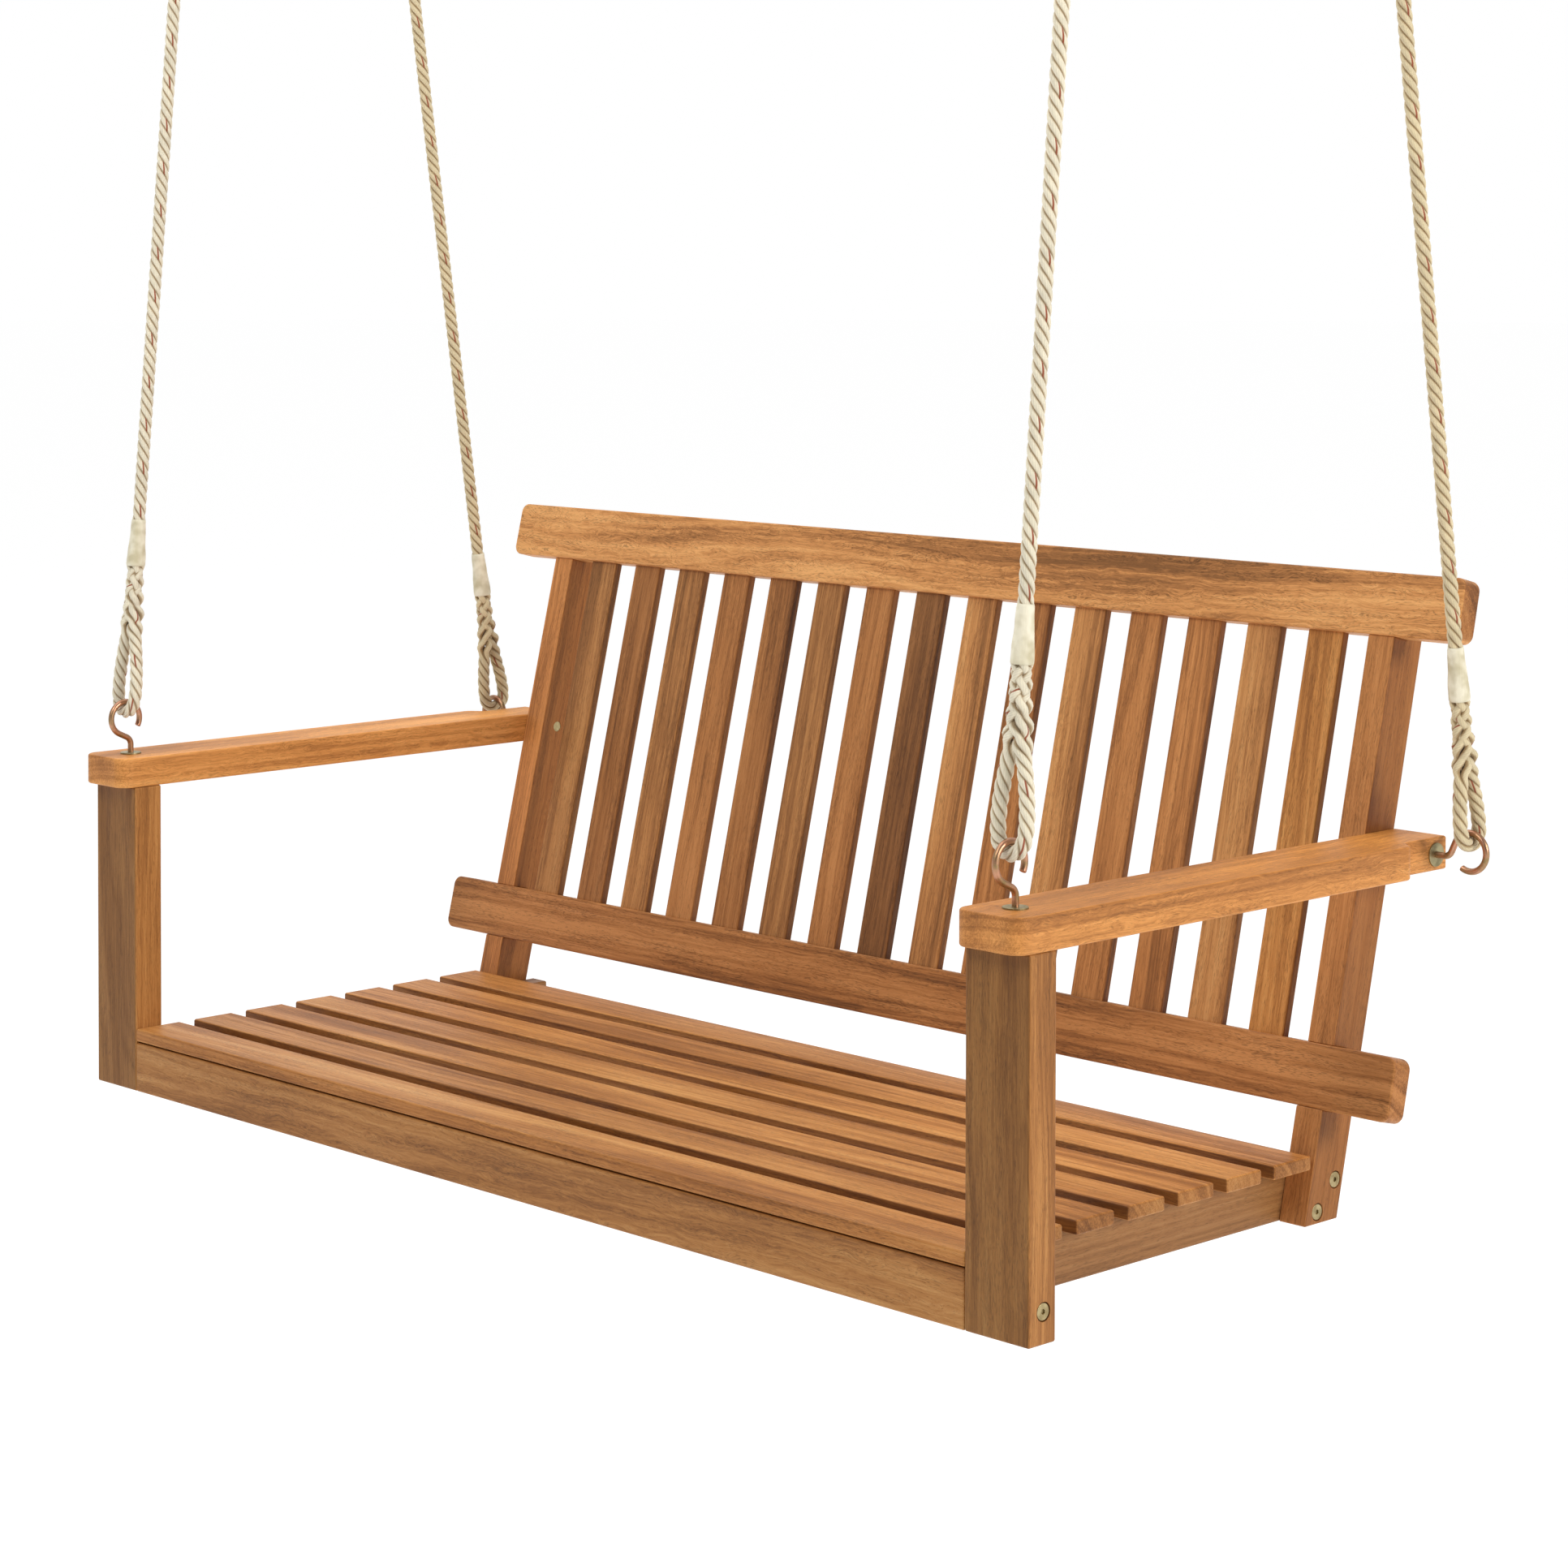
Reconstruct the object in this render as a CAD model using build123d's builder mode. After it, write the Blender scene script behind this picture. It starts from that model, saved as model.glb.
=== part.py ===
"""Porch swing seat: a slatted two-seat bench hung on four spliced ropes from four ceiling hooks.

Row frame: X to the right seen from the front, Y towards the backrest, Z up. The origin lies on
the ceiling, midway between the screw shanks of the two front ceiling hooks. Sizes are in mm.
"""

import os
from math import cos, radians, sin, tan

from build123d import *

os.makedirs("parts", exist_ok=True)

# ---------------------------------------------------------------- boards of the seat
ease = 2.0  # rounding of every sawn edge
slat_length = 1084.0  # seat slats, and so the space between the front posts
half_length = slat_length / 2
seat_top, slat_thickness = 60.0, 12.0
front_slat, middle_slat, rear_slat, slat_gap = 50.0, 44.5, 48.5, 16.3
slat_widths = [front_slat] + [middle_slat] * 5 + [rear_slat]
rail_top = seat_top - slat_thickness
apron_height, apron_depth = rail_top - 1.5, 24.0
side_rail_outer, side_rail_width, side_rail_end, rail_foot = 515.0, 22.0, 474.0, 2.0
rail_height = rail_top - rail_foot

post_width, post_depth, arm_underside = 65.0, 30.0, 291.5
arm_width, arm_thickness, arm_front, arm_length = 67.0, 28.0, -15.0, 545.0
arm_corner = 14.0  # rounding of the arm's front corners, in plan
neck_step, neck_start, neck_run = 14.5, 458.0, 20.0  # the outer side steps in near the rear end
arm_top = arm_underside + arm_thickness
neck_face = half_length + arm_width - neck_step

# ---------------------------------------------------------------- reclined back
recline = 13.5  # degrees from upright
back_y, back_foot = 410.5, 2.0  # lower front corner of the back posts
back_post_depth, back_post_top, post_set_back = 42.0, 536.0, 2.4
back_rail_depth, back_rail_half_length, back_rail_corner = 22.0, 608.0, 9.0
lower_rail, top_rail = (96.4, 149.4), (494.0, 548.0)  # lower and upper edge, up the recline
back_slats, back_slat_width, back_slat_thickness, back_slat_pitch = 15, 37.4, 9.4, 66.84
back_slat_depth, tenon = 9.8, 12.0  # middle of the slats' thickness; their reach into each rail

# ---------------------------------------------------------------- fasteners
bolt_r, bolt_head_r, bolt_head, bolt_sink_r, bolt_sink = 3.0, 6.6, 2.0, 7.5, 2.4
socket_r, socket_depth, bolt_edge = 2.2, 1.4, 0.5
post_bolt = (16.2, 24.9)  # Y and Z of the bolt through each front post
back_bolts = [(14.2, 13.5), (31.8, 41.3)]  # depth and height of the bolts in each back post
barrel_r, barrel_length, barrel_inset, barrel_sink = 5.0, 14.0, 26.0, 1.5
nut_across, nut_height, bolt_past_nut = 10.0, 5.0, 2.0
screw_r, screw_head_r, screw_head = 2.2, 5.2, 2.6
slat_screw_grip, slat_screw_bite = 28.0, 8.0  # rail under the head, thread in the slat
first_screw_back = 18.0  # the first row of slat screws, behind the apron
rail_screw_length, rail_screw_sink = 26.0, 3.0
rail_screw_height = {"lower": 0.0, "top": -4.0}  # off the middle of each rail
arm_screw_length, arm_screw_sink, arm_screw_place = 50.0, 0.8, (22.6, 319.5)
dowel_r, dowel_length, dowel_heights = 4.0, 24.0, (14.0, 36.0)

# ---------------------------------------------------------------- screw hooks, all alike
wire_r, tip_edge = 2.75, 0.8
bowl_r, bowl_out, bowl_aside = 16.0, 34.5, 6.0  # bowl centre, out from the face and off the shank
neck_lean, neck_bend_r = 65.0, 8.0  # degrees; bend from the shank into the bowl
bowl_turn = 276.0  # degrees of the bowl
shank_depth = 42.0  # screwed length
washer_r, washer_thickness, washer_edge = 10.0, 1.5, 0.5
front_hook_x, front_hook_y = 576.0, 18.0
rear_hook_y, rear_hook_z = 516.0, 305.0

# ---------------------------------------------------------------- ropes and where the seat hangs
rope_r = 6.0
eye_gap = 0.7  # slack between a hook's wire and the rope that bears on it
lean = {"front": 0.085, "rear": -0.145}  # run towards the back per rise
fold_r = 12.0  # fold of the rope round a hook, on its centre line
# one leg of an eye: across and along the rope, from the middle of the fold
eye_route = {
    "front": [(0, 0), (12.6, 0), (15.5, 36), (0, 104)],
    "rear": [(0, 0), (12.6, 0), (12.9, 30), (0, 86)],
}
eye_throat = {"front": 78.0, "rear": 60.0}
splice_length = {"front": 67.0, "rear": 66.0}
splice_r, splice_top_r = 10.0, 9.0
tape_length, tape_r, tape_top_r = 39.0, 9.4, 6.7
hang_height = 1300.0  # ceiling above the feet of the front posts

bowl_drop = bowl_out + bowl_r  # from a hook's face to the far side of its bowl
rope_x = {"front": front_hook_x, "rear": neck_face + bowl_out}
arm_pivot = {  # seat's frame: centre of a front hook's bowl, top of a rear hook's bowl
    "front": (front_hook_y - bowl_aside, arm_top + bowl_out),
    "rear": (rear_hook_y, rear_hook_z + bowl_aside + bowl_r),
}
ceiling_y = {  # seat's frame
    row: y + lean[row] * (hang_height - bowl_drop - z) for row, (y, z) in arm_pivot.items()
}
seat_y = -ceiling_y["front"]
SEAT = Plane(origin=(0, seat_y, -hang_height))  # Y back from the front posts, Z up from their feet
BACK = Plane(
    origin=(0, seat_y + back_y, -hang_height + back_foot),
    x_dir=(1, 0, 0),
    z_dir=(0, -cos(radians(recline)), sin(radians(recline))),
)  # X across, Y up the back, Z forwards out of the back

sides = {"left": Vector(-1, 0, 0), "right": Vector(1, 0, 0)}
up, rearward = Vector(0, 0, 1), Vector(0, 1, 0)
BOTTOM = (Align.CENTER, Align.CENTER, Align.MIN)


def seat_point(x, y, z):
    """A point of the seat's frame in the row frame."""
    return Vector(x, seat_y + y, z - hang_height)


def back_point(x, depth, height):
    """A point of the back, by its depth behind the front plane and its height up the recline."""
    return BACK.from_local_coords(Vector(x, height, -depth))


def finish(part, name):
    """Labels a finished sub-part and writes it."""
    part.label = name
    export_step(part, f"parts/{name}.step")


def group(parts, name):
    """Writes identical separate fasteners as one sub-part."""
    with BuildPart() as together:
        add(parts)
    finish(together.part, name)


def board(size, centre):
    """A board with eased edges, centred at a point of the seat's frame."""
    with BuildPart(SEAT) as piece:
        with Locations(centre):
            Box(*size)
        fillet(piece.edges(), ease)
    return piece.part


def screw(face, direction, length, sink):
    """A countersunk wood screw whose head lies in a hole of the given depth."""
    with BuildPart(Plane(origin=face, z_dir=direction)) as piece:
        with Locations((0, 0, sink)):
            Cone(screw_head_r, screw_r, screw_head, align=BOTTOM)
        with Locations((0, 0, sink + screw_head)):
            Cylinder(screw_r, length, align=BOTTOM)
    return piece.part


def cut(part, bores=(), screws=()):
    """The part without its bores (start, direction, radius, depth) and its screws' holes."""
    cutters = [screw(*place) for place in screws]
    sinks = [(face, direction, screw_head_r, sink) for face, direction, _, sink in screws]
    with BuildPart() as piece:
        add(part)
        for start, direction, radius, depth in [*bores, *sinks]:
            with BuildSketch(Plane(origin=start, z_dir=direction)):
                Circle(radius)
            extrude(amount=depth, mode=Mode.SUBTRACT)
        add(cutters, mode=Mode.SUBTRACT)
    return piece.part


def bolt(face, direction, length):
    """A connector bolt in a counterbored face: flat round head, hexagonal socket and shank."""
    below = bolt_sink - bolt_head  # how far the head lies below the face
    head_plane = Plane(origin=face, z_dir=direction).offset(below)
    with BuildPart(head_plane) as piece:
        Cylinder(bolt_head_r, bolt_head, align=BOTTOM)
        fillet(piece.edges().filter_by(GeomType.CIRCLE).sort_by(Axis(face, direction))[0], bolt_edge)
        Cylinder(bolt_r, length - below, align=BOTTOM)
        with BuildSketch(head_plane):
            RegularPolygon(socket_r, 6)
        extrude(amount=socket_depth, mode=Mode.SUBTRACT)
    return piece.part


# ---------------------------------------------------------------- where the fasteners go
slat_fronts = [sum(slat_widths[:i]) + slat_gap * i for i in range(len(slat_widths))]
slat_centres = [front + width / 2 for front, width in zip(slat_fronts, slat_widths)]
rail_x = {
    "side_rail_left": side_rail_width / 2 - side_rail_outer,
    "centre_rail": 0.0,
    "side_rail_right": side_rail_outer - side_rail_width / 2,
}
screw_rows = [max(centre, apron_depth + first_screw_back) for centre in slat_centres]
slat_screws = {
    (name, row): (
        seat_point(x, y, rail_foot), up, slat_screw_grip - screw_head + slat_screw_bite,
        rail_height - slat_screw_grip,
    )
    for name, x in rail_x.items()
    for row, y in enumerate(screw_rows)
}
post_bolt_face = {
    side: seat_point(0, *post_bolt) + out * (half_length + post_width) for side, out in sides.items()
}
post_bolt_length = post_width + barrel_inset + 2 * barrel_r
back_bolt_faces = {
    side: [back_point(0, *place) + out * half_length for place in back_bolts]
    for side, out in sides.items()
}
back_bolt_reach = half_length - side_rail_outer + side_rail_width
arm_screw = {
    side: (back_point(0, *arm_screw_place) + out * side_rail_outer, out, arm_screw_length,
           arm_screw_sink)
    for side, out in sides.items()
}
rail_middle = {
    "lower": sum(lower_rail) / 2 + rail_screw_height["lower"],
    "top": sum(top_rail) / 2 + rail_screw_height["top"],
}
rail_screws = {
    (side, rail): (
        back_point(0, back_post_depth, height) + out * (side_rail_outer + half_length) / 2,
        BACK.z_dir, rail_screw_length, rail_screw_sink,
    )
    for side, out in sides.items()
    for rail, height in rail_middle.items()
}
front_hook_face = {side: seat_point(0, front_hook_y, arm_top) + out * front_hook_x
                   for side, out in sides.items()}
rear_hook_face = {side: seat_point(0, rear_hook_y, rear_hook_z) + out * neck_face
                  for side, out in sides.items()}

# ---------------------------------------------------------------- seat slats
for row, (centre, width) in enumerate(zip(slat_centres, slat_widths)):
    slat = board((slat_length, width, slat_thickness), (0, centre, seat_top - slat_thickness / 2))
    own_screws = [slat_screws[name, row] for name in rail_x]
    finish(cut(slat, screws=own_screws), f"seat_slat_{row + 1}")
group([screw(*place) for place in slat_screws.values()], "slat_screws")

# ---------------------------------------------------------------- rails under the seat, apron
dowels = []
apron_bores = []
for name, x in rail_x.items():
    end = side_rail_end if x else slat_fronts[-1] + rear_slat
    rail = board((side_rail_width, end - apron_depth, rail_height),
                 (x, (end + apron_depth) / 2, rail_foot + rail_height / 2))
    bores = []
    for z in dowel_heights:
        joint = seat_point(x, apron_depth, z)
        bores.append((joint, rearward, dowel_r, dowel_length / 2))
        apron_bores.append((joint, -rearward, dowel_r, dowel_length / 2))
        with BuildPart(Plane(origin=joint, z_dir=rearward)) as dowel:
            Cylinder(dowel_r, dowel_length)
        dowels.append(dowel.part)
    if x:
        side = name.removeprefix("side_rail_")
        bores += [(face, -sides[side], bolt_r, back_bolt_reach) for face in back_bolt_faces[side]]
    own_screws = [place for (rail_name, _), place in slat_screws.items() if rail_name == name]
    finish(cut(rail, bores, own_screws), name)
group(dowels, "rail_dowels")

barrel_nuts = []
for side, out in sides.items():
    mouth = seat_point(0, apron_depth, post_bolt[1]) + out * (half_length - barrel_inset)
    apron_bores.append((post_bolt_face[side], -out, bolt_r, post_bolt_length))
    apron_bores.append((mouth, -rearward, barrel_r, barrel_length + barrel_sink))
    with BuildPart(Plane(origin=mouth - rearward * barrel_sink, z_dir=-rearward)) as nut:
        Cylinder(barrel_r, barrel_length, align=BOTTOM)
        with BuildSketch(Plane(origin=post_bolt_face[side], z_dir=-out)):
            Circle(bolt_r)
        extrude(amount=post_bolt_length, mode=Mode.SUBTRACT)
    barrel_nuts.append(nut.part)
apron = board((slat_length, apron_depth, apron_height), (0, apron_depth / 2, apron_height / 2))
finish(cut(apron, apron_bores), "front_apron")
group(barrel_nuts, "barrel_nuts")

# ---------------------------------------------------------------- front posts and arms
for side, out in sides.items():
    middle = out.X * (half_length + post_width / 2)
    post = board((post_width, post_depth, arm_underside),
                 (middle, post_depth / 2, arm_underside / 2))
    hook_bore = (front_hook_face[side], -up, wire_r, shank_depth)
    post_bores = [
        (post_bolt_face[side], -out, bolt_r, post_bolt_length),
        (post_bolt_face[side], -out, bolt_sink_r, bolt_sink),
        hook_bore,
    ]
    finish(cut(post, post_bores), f"front_post_{side}")

    inner, outer, neck = (out.X * x for x in (half_length, half_length + arm_width, neck_face))
    rear, neck_end = arm_front + arm_length, neck_start + neck_run
    with BuildPart() as arm:
        with BuildSketch(SEAT.offset(arm_underside)):
            with BuildLine():
                Polyline((neck, neck_end), (neck, rear), (inner, rear), (inner, arm_front),
                         (outer, arm_front), (outer, neck_start))
                Bezier((outer, neck_start), (outer, neck_start + neck_run / 2),
                       (neck, neck_start + neck_run / 2), (neck, neck_end))
            make_face()
        extrude(amount=arm_thickness)
        fillet(arm.edges().filter_by(Axis.Z).group_by(Axis.Y)[0], arm_corner)
        fillet(arm.faces().filter_by(Axis.Z).edges(), ease)
    arm_bores = [hook_bore, (rear_hook_face[side], -out, wire_r, shank_depth)]
    finish(cut(arm.part, arm_bores, [arm_screw[side]]), f"arm_{side}")
group([screw(*place) for place in arm_screw.values()], "arm_screws")

# ---------------------------------------------------------------- back posts, notched for the rails
post_outline = [
    (0, 0), (0, lower_rail[0]), (back_rail_depth, lower_rail[0]), (back_rail_depth, lower_rail[1]),
    (post_set_back, lower_rail[1]), (post_set_back, top_rail[0]), (back_rail_depth, top_rail[0]),
    (back_rail_depth, back_post_top), (back_post_depth, back_post_top),
    (back_post_depth, back_post_depth * tan(radians(recline))),
]
for side, out in sides.items():
    inner_face = Plane(origin=back_point(0, 0, 0) + out * side_rail_outer,
                       x_dir=-BACK.z_dir, z_dir=BACK.x_dir)
    with BuildPart() as back_post:
        with BuildSketch(inner_face):
            with BuildLine():
                Polyline(*post_outline, close=True)
            make_face()
        extrude(amount=out.X * (half_length - side_rail_outer))
        fillet(back_post.edges(), ease / 2)
    post_bores = [(face, -out, radius, depth) for face in back_bolt_faces[side]
                  for radius, depth in ((bolt_r, back_bolt_reach), (bolt_sink_r, bolt_sink))]
    own_screws = [arm_screw[side], *(rail_screws[side, rail] for rail in rail_middle)]
    finish(cut(back_post.part, post_bores, own_screws), f"back_post_{side}")

# ---------------------------------------------------------------- back rails and slats
slat_places = [((i - (back_slats - 1) / 2) * back_slat_pitch, 0) for i in range(back_slats)]
for rail, (low, high), mouth, inwards in (("lower", lower_rail, lower_rail[1], -1),
                                          ("top", top_rail, top_rail[0], 1)):
    with BuildPart() as back_rail:
        with BuildSketch(BACK):
            with Locations((0, (low + high) / 2)):
                RectangleRounded(2 * back_rail_half_length, high - low, back_rail_corner)
        extrude(amount=-back_rail_depth)
        broad_faces = back_rail.faces().filter_by(BACK)
        fillet(broad_faces.edges(), ease)
        with BuildSketch(Plane(origin=back_point(0, back_slat_depth, mouth), x_dir=(1, 0, 0),
                               z_dir=BACK.y_dir)):
            with Locations(*slat_places):
                RectangleRounded(back_slat_width, back_slat_thickness, ease)
        extrude(amount=inwards * tenon, mode=Mode.SUBTRACT)
    own_screws = [rail_screws[side, rail] for side in sides]
    finish(cut(back_rail.part, screws=own_screws), f"{rail}_back_rail")
group([screw(*place) for place in rail_screws.values()], "rail_screws")

slat_foot = Plane(origin=back_point(0, back_slat_depth, lower_rail[1] - tenon), x_dir=(1, 0, 0),
                  z_dir=BACK.y_dir)
for i, place in enumerate(slat_places):
    with BuildPart() as back_slat:
        with BuildSketch(slat_foot):
            with Locations(place):
                RectangleRounded(back_slat_width, back_slat_thickness, ease)
        extrude(amount=top_rail[0] - lower_rail[1] + 2 * tenon)
    finish(back_slat.part, f"back_slat_{i + 1}")

# ---------------------------------------------------------------- bolts and nuts
bolts = []
nuts = []
for side, out in sides.items():
    bolts.append(bolt(post_bolt_face[side], -out, post_bolt_length))
    for face in back_bolt_faces[side]:
        bolts.append(bolt(face, -out, back_bolt_reach + nut_height + bolt_past_nut))
        with BuildPart() as nut:
            with BuildSketch(Plane(origin=face - out * back_bolt_reach, z_dir=-out)):
                RegularPolygon(nut_across / 2, 6, major_radius=False)
                Circle(bolt_r, mode=Mode.SUBTRACT)
            extrude(amount=nut_height)
        nuts.append(nut.part)
group(bolts, "frame_bolts")
group(nuts, "frame_nuts")


# ---------------------------------------------------------------- hooks and washers
def hook(face, outwards, aside):
    """A screw hook: a shank in a face, a bend, and a bowl whose mouth is beside the shank."""
    neck_end = Vector(bowl_out - bowl_r * sin(radians(neck_lean)),
                      bowl_aside + bowl_r * cos(radians(neck_lean)))
    corner = (neck_end.X - neck_end.Y / tan(radians(neck_lean)), 0)
    with BuildPart() as piece:
        with BuildLine(Plane(origin=face, x_dir=outwards, z_dir=outwards.cross(aside))) as path:
            FilletPolyline((-shank_depth, 0), corner, (neck_end.X, neck_end.Y), radius=neck_bend_r)
            CenterArc((bowl_out, bowl_aside), bowl_r, 90 + neck_lean, -bowl_turn)
        with BuildSketch(Plane(origin=face - outwards * shank_depth, z_dir=outwards)):
            Circle(wire_r)
        sweep(path=path.wire())
        fillet(piece.faces().filter_by(GeomType.PLANE).edges(), tip_edge)
    return piece.part


washers = []
for side, out in sides.items():
    finish(hook(front_hook_face[side], up, -rearward), f"arm_hook_front_{side}")
    finish(hook(rear_hook_face[side], out, up), f"arm_hook_rear_{side}")
    for row in ("front", "rear"):
        shank = Vector(0, seat_y + ceiling_y[row], 0) + out * (rope_x[row] + bowl_aside)
        finish(hook(shank, -up, -out), f"ceiling_hook_{row}_{side}")
    for face, way in ((front_hook_face[side], up), (rear_hook_face[side], out)):
        with BuildPart() as washer:
            with BuildSketch(Plane(origin=face, z_dir=way)):
                Circle(washer_r)
                Circle(wire_r, mode=Mode.SUBTRACT)
            extrude(amount=washer_thickness)
            outer_rim = washer.edges().filter_by(GeomType.CIRCLE).group_by(SortBy.RADIUS)[-1]
            fillet(outer_rim.sort_by(Axis(face, way))[-1], washer_edge)
        washers.append(washer.part)
group(washers, "hook_washers")


# ---------------------------------------------------------------- ropes, an eye spliced at each end
def leg_bend(before, corner, after):
    """The radius of the gentle bend at a corner of a leg's route."""
    run_in, run_out = Vector(*corner) - Vector(*before), Vector(*after) - Vector(*corner)
    half_turn = radians(run_in.get_angle(run_out)) / 2
    return 0.45 * min(run_in.length, run_out.length) / tan(half_turn)


bearing = wire_r + eye_gap + rope_r  # from a hook's wire to the centre line of the fold
for row in ("front", "rear"):
    pivot_y, pivot_z = arm_pivot[row]
    low = seat_point(0, pivot_y, pivot_z)
    top = Vector(0, seat_y + ceiling_y[row], -bowl_drop)
    along = (top - low).normalized()
    fore_and_aft = along.cross(Vector(1, 0, 0))
    sideways = Vector(1, 0, 0)
    low_rise = bowl_r - bearing if row == "front" else -bearing
    route, throat = eye_route[row], eye_throat[row]
    radii = [fold_r, leg_bend(*route[1:])]
    low_fold, top_fold = low + along * low_rise, top + along * bearing
    length = (top_fold - low_fold).length
    splice_end = throat + splice_length[row]
    for side, out in sides.items():
        lower, upper = low_fold + out * rope_x[row], top_fold + out * rope_x[row]
        ends = ((lower, sideways if row == "front" else fore_and_aft, along),
                (upper, fore_and_aft, -along))
        with BuildPart() as rope:
            for fold, across, way in ends:
                for leg in (across, -across):
                    with BuildLine(Plane(origin=fold, x_dir=leg, z_dir=leg.cross(way))) as path:
                        FilletPolyline(*route, radius=radii)
                    with BuildSketch(Plane(origin=fold, z_dir=leg)):
                        Circle(rope_r)
                    sweep(path=path.wire())
                with Locations(Plane(origin=fold + way * throat, z_dir=way)):
                    Cone(splice_r, splice_top_r, splice_length[row], align=BOTTOM)
            with Locations(Plane(origin=lower + along * splice_end, z_dir=along)):
                Cylinder(rope_r, length - 2 * splice_end, align=BOTTOM)
        finish(rope.part, f"rope_{row}_{side}")
        tapes = []
        for fold, _, way in ends:
            with BuildPart(Plane(origin=fold + way * splice_end, z_dir=way)) as tape:
                Cone(tape_r, tape_top_r, tape_length, align=BOTTOM)
                Cylinder(rope_r, tape_length, align=BOTTOM, mode=Mode.SUBTRACT)
            tapes.append(tape.part)
        group(tapes, f"rope_tape_{row}_{side}")
    print(f"{row} rope: {length:.1f} mm between folds, bends {radii[0]:.1f} and {radii[1]:.1f} mm")
    print(f"  at the seat {low}, at the ceiling {top}, x {rope_x[row]}, standing part "
          f"{length - 2 * splice_end:.1f} mm, whole rope {rope.part.volume:.0f} mm3")
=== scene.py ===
"""Porch swing seat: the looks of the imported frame. Metres: X right, Y back, Z up."""
from math import pi, radians

import bpy
import numpy as np
from mathutils import Matrix, Vector


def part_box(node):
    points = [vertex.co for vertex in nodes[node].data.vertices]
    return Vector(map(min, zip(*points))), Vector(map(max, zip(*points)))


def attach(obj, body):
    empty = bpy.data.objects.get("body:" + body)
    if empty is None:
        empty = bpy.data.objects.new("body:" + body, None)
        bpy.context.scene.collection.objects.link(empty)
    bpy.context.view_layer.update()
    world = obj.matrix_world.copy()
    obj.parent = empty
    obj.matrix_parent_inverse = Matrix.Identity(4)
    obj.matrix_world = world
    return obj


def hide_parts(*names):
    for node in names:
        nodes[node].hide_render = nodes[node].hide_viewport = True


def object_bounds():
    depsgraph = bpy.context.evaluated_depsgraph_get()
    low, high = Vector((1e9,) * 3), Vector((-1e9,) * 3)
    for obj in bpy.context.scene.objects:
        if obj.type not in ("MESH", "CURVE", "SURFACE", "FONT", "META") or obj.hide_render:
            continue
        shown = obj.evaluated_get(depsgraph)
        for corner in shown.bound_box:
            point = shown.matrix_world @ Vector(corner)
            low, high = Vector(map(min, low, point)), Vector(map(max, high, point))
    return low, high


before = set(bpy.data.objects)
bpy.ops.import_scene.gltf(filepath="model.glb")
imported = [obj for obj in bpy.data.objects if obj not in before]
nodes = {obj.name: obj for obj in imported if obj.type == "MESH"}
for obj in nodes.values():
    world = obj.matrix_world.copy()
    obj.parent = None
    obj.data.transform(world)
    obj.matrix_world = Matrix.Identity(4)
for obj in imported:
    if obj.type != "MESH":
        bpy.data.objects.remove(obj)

cad_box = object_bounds()
X = Vector((1, 0, 0))
ROWS, SIDES = ("front", "rear"), ("left", "right")
RECLINE = radians(13.5)  # of the back, from upright


# ---------------------------------------------------------------- camera, floor and light
def camera():
    """A long lens at seat height, 46 degrees round to the right, with the frame shifted down."""
    data = bpy.data.cameras.new("camera")
    data.lens, data.sensor_width = 84.81, 36.0
    data.shift_y = -0.2782
    data.clip_end = 100
    made = bpy.data.objects.new("camera", data)
    yaw, pitch, roll = radians(45.884), radians(1.576), radians(0.096)
    turn = Matrix.Rotation(yaw, 4, "Z") @ Matrix.Rotation(pi / 2 - pitch, 4, "X")
    turn = turn @ Matrix.Rotation(roll, 4, "Z")
    made.matrix_world = Matrix.Translation((2.4128, -2.0909, -0.4902)) @ turn
    bpy.context.collection.objects.link(made)
    bpy.context.scene.camera = made


def area_light(name, place, target, size, power, colour=(1, 1, 1)):
    """A square soft light that looks at the target."""
    data = bpy.data.lights.new(name, "AREA")
    data.size, data.energy, data.color = size, power, colour
    made = bpy.data.objects.new(name, data)
    made.location = place
    made.rotation_euler = (Vector(target) - Vector(place)).to_track_quat("-Z", "Y").to_euler()
    bpy.context.collection.objects.link(made)


def studio():
    """A white wall behind the seat, a dimmer room in front, a pale lit floor and soft lights."""
    world = bpy.data.worlds.new("studio")
    bpy.context.scene.world = world
    world.use_nodes = True
    tree = world.node_tree
    direction = node(tree, "TexCoord").outputs["Generated"]
    to_the_wall = dot(tree, direction, (-0.7, 0.7, 0.0))
    strength = maths(tree, "ADD", maths(tree, "MULTIPLY", to_the_wall, 0.56), 0.5)
    strength = maths(tree, "MINIMUM", strength, 1.0)
    tree.nodes["Background"].inputs["Color"].default_value = (1, 1, 1, 1)
    tree.links.new(strength, tree.nodes["Background"].inputs["Strength"])
    bpy.context.scene.view_settings.view_transform = "Standard"
    feet = cad_box[0][2]
    centre = (0, 0.2, feet + 0.3)
    area_light("key", (5.0, 0.95, 0.7), centre, 1.3, 140, (1.0, 0.97, 0.93))
    area_light("top", (-0.6, 0.2, 2.4), centre, 3.0, 42)
    area_light("front", (0.5, -3.2, 2.4), centre, 2.0, 95, (1.0, 0.98, 0.95))
    bpy.ops.mesh.primitive_circle_add(vertices=96, radius=60, fill_type="NGON",
                                      location=(0, 0, feet - 0.45))
    floor = bpy.context.object
    floor.name = "floor"
    pale = plain_material("floor", (0.35, 0.35, 0.35), 0.9)
    shader = pale.node_tree.nodes["Principled BSDF"]
    shader.inputs["Specular IOR Level"].default_value = 0.0
    shader.inputs["Emission Color"].default_value = (1, 1, 1, 1)
    shader.inputs["Emission Strength"].default_value = 0.82
    floor.data.materials.append(pale)


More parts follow.
